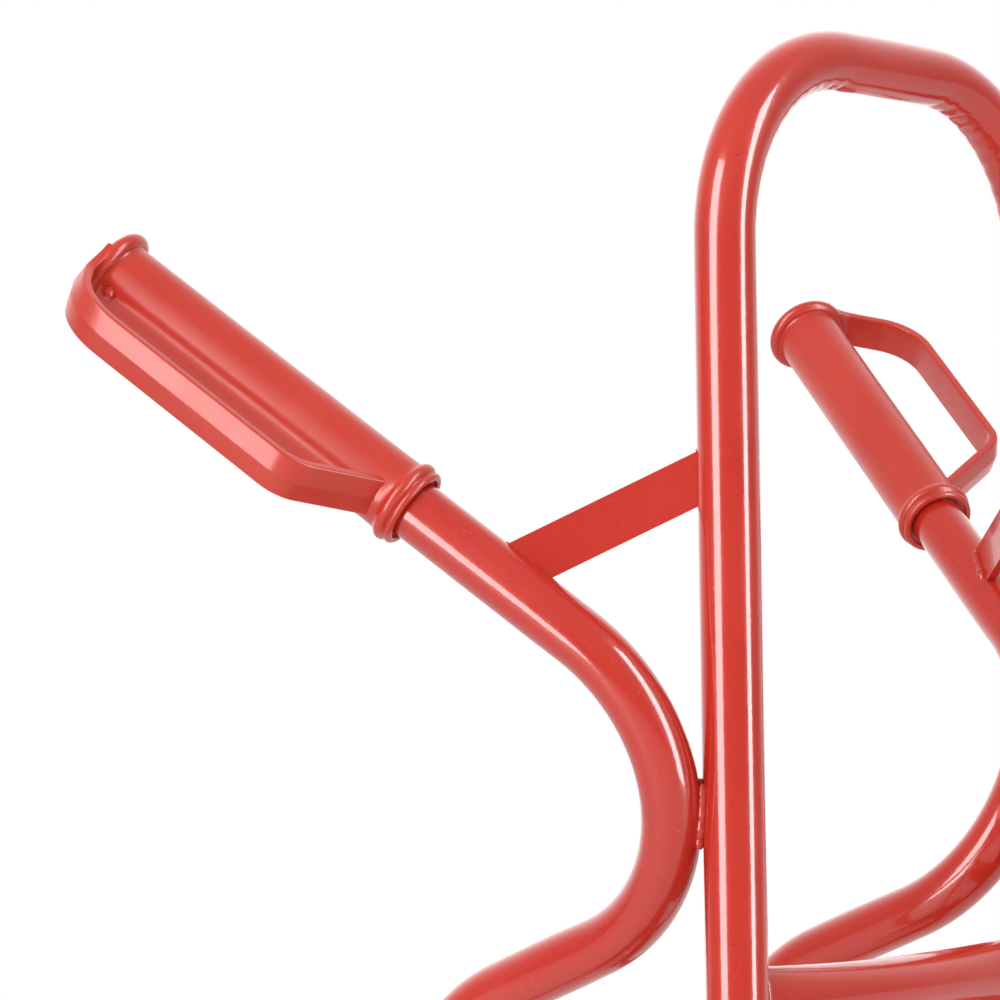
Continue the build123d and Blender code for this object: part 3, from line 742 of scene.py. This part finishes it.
for side_name in SIDES:
    contact_beads(side_name)
    brace_beads(side_name)
    foot_beads(side_name)
    for bar in ("crossbar_upper", "crossbar_middle", "crossbar_lower"):
        crossbar_beads(bar, side_name)


# ---------------------------------------------------------------- tyres
TYRE_STEPS = 360
BEAD_X, BEAD_R, LIP_R = 26.95 * MM, 51 * MM, 62.5 * MM     # the tyre's foot on the rim
WIDEST_R = 95 * MM
CROWN_X, CROWN_R = 35.7 * MM, 121 * MM                     # where sidewall and tread meet
WALL_STEPS, TREAD_STEPS = 22, 64
TYRE_INSIDE = [(x * MM, r * MM) for x, r in (
    (-21, 51), (-21, 61), (-36, 90), (-30, 112), (0, 120), (30, 112), (36, 90), (21, 61), (21, 51),
)]
BLOCK_STEPS, CUT_STEPS = 12, 3                             # one tread block, and its cut
GROOVES_X = (-21, -7, 7, 21)                               # mm
GROOVE_WAVE, GROOVE_DEPTH, GROOVE_HALF, GROOVE_SLOPE = 1.6 * MM, 3.4 * MM, 2.1 * MM, 0.7 * MM
CUT_FROM_X, CUT_DEPTH = 23 * MM, 2.8 * MM
SHOULDER_LOW_R, SHOULDER_RUN, SHOULDER_CUT = 112 * MM, 9 * MM, 1.6 * MM
TYRE_SHARP = 40   # degrees


def tread_depth(x, r, step):
    """How deep the tyre is cut at a point of its outline, so many steps round."""
    shift = 0 if x > 0 else BLOCK_STEPS // 2
    in_cut = (step + shift) % BLOCK_STEPS < CUT_STEPS
    depth = 0.0
    if abs(x) < CROWN_X and r > CROWN_R - 0.5 * MM:
        zigzag = abs((step % BLOCK_STEPS) / (BLOCK_STEPS / 2) - 1) * 2 - 1
        for groove in GROOVES_X:
            away = abs(x - groove * MM - GROOVE_WAVE * zigzag)
            slope = min(1, max(0, (GROOVE_HALF - away) / GROOVE_SLOPE))
            depth = max(depth, GROOVE_DEPTH * slope)
        if abs(x) > CUT_FROM_X and in_cut:
            depth = max(depth, CUT_DEPTH)
    elif SHOULDER_LOW_R < r <= CROWN_R and in_cut:
        depth = SHOULDER_CUT * (r - SHOULDER_LOW_R) / SHOULDER_RUN
    return depth


def tyre(side):
    """Tyre with four wavy grooves round its tread and blocks cut into its shoulders."""
    low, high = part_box(f"tyre_{side}")
    centre = (low + high) / 2
    radius, half = (high.z - low.z) / 2, (high.x - low.x) / 2
    wall = arc_through((BEAD_X, LIP_R), (half, WIDEST_R), (CROWN_X, CROWN_R), WALL_STEPS)
    tread = arc_through((CROWN_X, CROWN_R), (0, radius), (-CROWN_X, CROWN_R), TREAD_STEPS)
    other_wall = [(-x, r) for x, r in reversed(wall)]
    outside = [(BEAD_X, BEAD_R), *wall, *tread[1:-1], *other_wall, (-BEAD_X, BEAD_R)]
    rows = []
    for step, turn in enumerate(angles(TYRE_STEPS)):
        ring = [(x, r - tread_depth(x, r, step)) for x, r in outside] + TYRE_INSIDE
        rows.append([
            centre + Vector((x, r * math.cos(turn), r * math.sin(turn))) for x, r in ring
        ])
    rows.append(rows[0])
    points, faces = skin(rows)
    new_piece(
        f"tread_tyre_{side}", points, faces, "tyre_rubber", f"{side}_wheel",
        f"tyre_{side}", TYRE_SHARP,
    )


for side_name in SIDES:
    tyre(side_name)


# ---------------------------------------------------------------- finishes of the CAD parts
NODE_SLOTS = {part["node"]: part["material_slot"] for part in frame["record"]["subparts"]}
EDGE_SHARP = math.radians(50)
# Width in mm of the soft edges of cut plate and flat bar.
SOFT_EDGES = {
    "toe_plate": 0.8, "axle_bracket": 0.7, "toe_gusset": 0.7, "upper_brace": 0.5, "lower_brace": 0.5,
}
for node_name, obj in frame["nodes"].items():
    dress(obj, NODE_SLOTS[node_name])
    stem = node_name.removesuffix("_right").removesuffix("_left")
    if stem in SOFT_EDGES:
        edge = obj.modifiers.new("edge", "BEVEL")
        edge.width = SOFT_EDGES[stem] * MM
        edge.segments = 2
        edge.limit_method = "ANGLE"
        edge.angle_limit = EDGE_SHARP


# ---------------------------------------------------------------- floor
FLOOR_HALF = 4.5
FLOOR_DROP = 0.5 * MM
FLOOR_PALE, FLOOR_SHADE, FLOOR_ROUGH = (0.86, 0.86, 0.86), 0.97, 0.6


def floor_finish():
    g = Graph("pale_floor")
    darker = tuple(c * FLOOR_SHADE for c in FLOOR_PALE)
    tint = g.mix(g.span(g.noise(3, 4), 0.3, 0.7), FLOOR_PALE, darker)
    return g.finish(Base_Color=tint, Roughness=FLOOR_ROUGH)


floor_mesh = bpy.data.meshes.new("floor")
floor_corners = [
    (x * FLOOR_HALF, y * FLOOR_HALF, 0) for x, y in ((-1, -1), (1, -1), (1, 1), (-1, 1))
]
floor_mesh.from_pydata(floor_corners, [], [(0, 1, 2, 3)])
floor = bpy.data.objects.new("floor", floor_mesh)
bpy.context.scene.collection.objects.link(floor)
floor.location.z = -FLOOR_DROP
floor.data.materials.append(floor_finish())


# ---------------------------------------------------------------- light
LIGHTS_ROUND = Vector((0.1, -0.05, 0))
LIGHTS_AIM = Vector((0, 0, 0.8))
TOWARDS_CAMERA = Vector((CAMERA_BACK.x, CAMERA_BACK.y, 0)).normalized()


def soft_light(name, bearing, height, distance, width, tall, power):
    """Area light; bearing in degrees from the camera's side, positive to the camera's right."""
    data = bpy.data.lights.new(name, "AREA")
    data.shape = "RECTANGLE"
    data.size, data.size_y = width, tall
    data.energy = power
    light = bpy.data.objects.new(name, data)
    bpy.context.scene.collection.objects.link(light)
    toward = Matrix.Rotation(math.radians(bearing), 3, "Z") @ TOWARDS_CAMERA
    light.location = LIGHTS_ROUND + toward * distance + Vector((0, 0, height))
    light.rotation_euler = (light.location - LIGHTS_AIM).to_track_quat("Z", "Y").to_euler()
    return light


# Two tall strips give the long highlights on the tubes, and the key light shapes the soft shading.
for strip in (
    soft_light("left_strip", -49, 1.4, 2.4, 1.15, 3.2, 128),
    soft_light("right_strip", 63, 1.4, 2.4, 0.7, 3.2, 105),
):
    strip.visible_diffuse = False
soft_light("key", -25, 2.4, 2.6, 1.6, 1.6, 42).visible_glossy = False


def studio_world():
    """Pale room: brighter overhead and behind the truck, dimmer below, and white seen directly."""
    world = bpy.data.worlds.new("studio")
    world.use_nodes = True
    tree = world.node_tree
    tree.nodes.clear()

    def add(kind, **inputs):
        node = tree.nodes.new(kind)
        for key, value in inputs.items():
            node.inputs[key.replace("_", " ")].default_value = value
        return node

    def math_node(operation, first, second):
        node = tree.nodes.new("ShaderNodeMath")
        node.operation = operation
        tree.links.new(first, node.inputs[0])
        tree.links.new(second, node.inputs[1])
        return node.outputs[0]

    way = add("ShaderNodeTexCoord").outputs["Generated"]
    parts = add("ShaderNodeSeparateXYZ")
    tree.links.new(way, parts.inputs[0])
    height = add("ShaderNodeMapRange", From_Min=-0.7, From_Max=0.7, To_Min=0.12, To_Max=0.98)
    tree.links.new(parts.outputs["Z"], height.inputs["Value"])
    behind = tree.nodes.new("ShaderNodeVectorMath")
    behind.operation = "DOT_PRODUCT"
    tree.links.new(way, behind.inputs[0])
    behind.inputs[1].default_value = -CAMERA_BACK
    wall = add("ShaderNodeMapRange", From_Min=0.2, From_Max=0.85, To_Min=0.0, To_Max=1.0)
    tree.links.new(behind.outputs["Value"], wall.inputs["Value"])
    rays = add("ShaderNodeLightPath")
    dimmed = add("ShaderNodeMapRange", To_Min=1.0, To_Max=0.6)
    tree.links.new(rays.outputs["Is Glossy Ray"], dimmed.inputs["Value"])
    strength = math_node(
        "ADD",
        math_node("MULTIPLY", height.outputs[0], dimmed.outputs[0]),
        math_node("MULTIPLY", wall.outputs[0], rays.outputs["Is Glossy Ray"]),
    )
    room = add("ShaderNodeBackground", Color=(1, 1, 1, 1))
    tree.links.new(strength, room.inputs["Strength"])
    seen = add("ShaderNodeBackground", Color=(1, 1, 1, 1))
    mix = tree.nodes.new("ShaderNodeMixShader")
    tree.links.new(rays.outputs["Is Camera Ray"], mix.inputs[0])
    tree.links.new(room.outputs[0], mix.inputs[1])
    tree.links.new(seen.outputs[0], mix.inputs[2])
    tree.links.new(mix.outputs[0], add("ShaderNodeOutputWorld").inputs["Surface"])
    return world


bpy.context.scene.world = studio_world()
bpy.context.scene.view_settings.view_transform = "Standard"
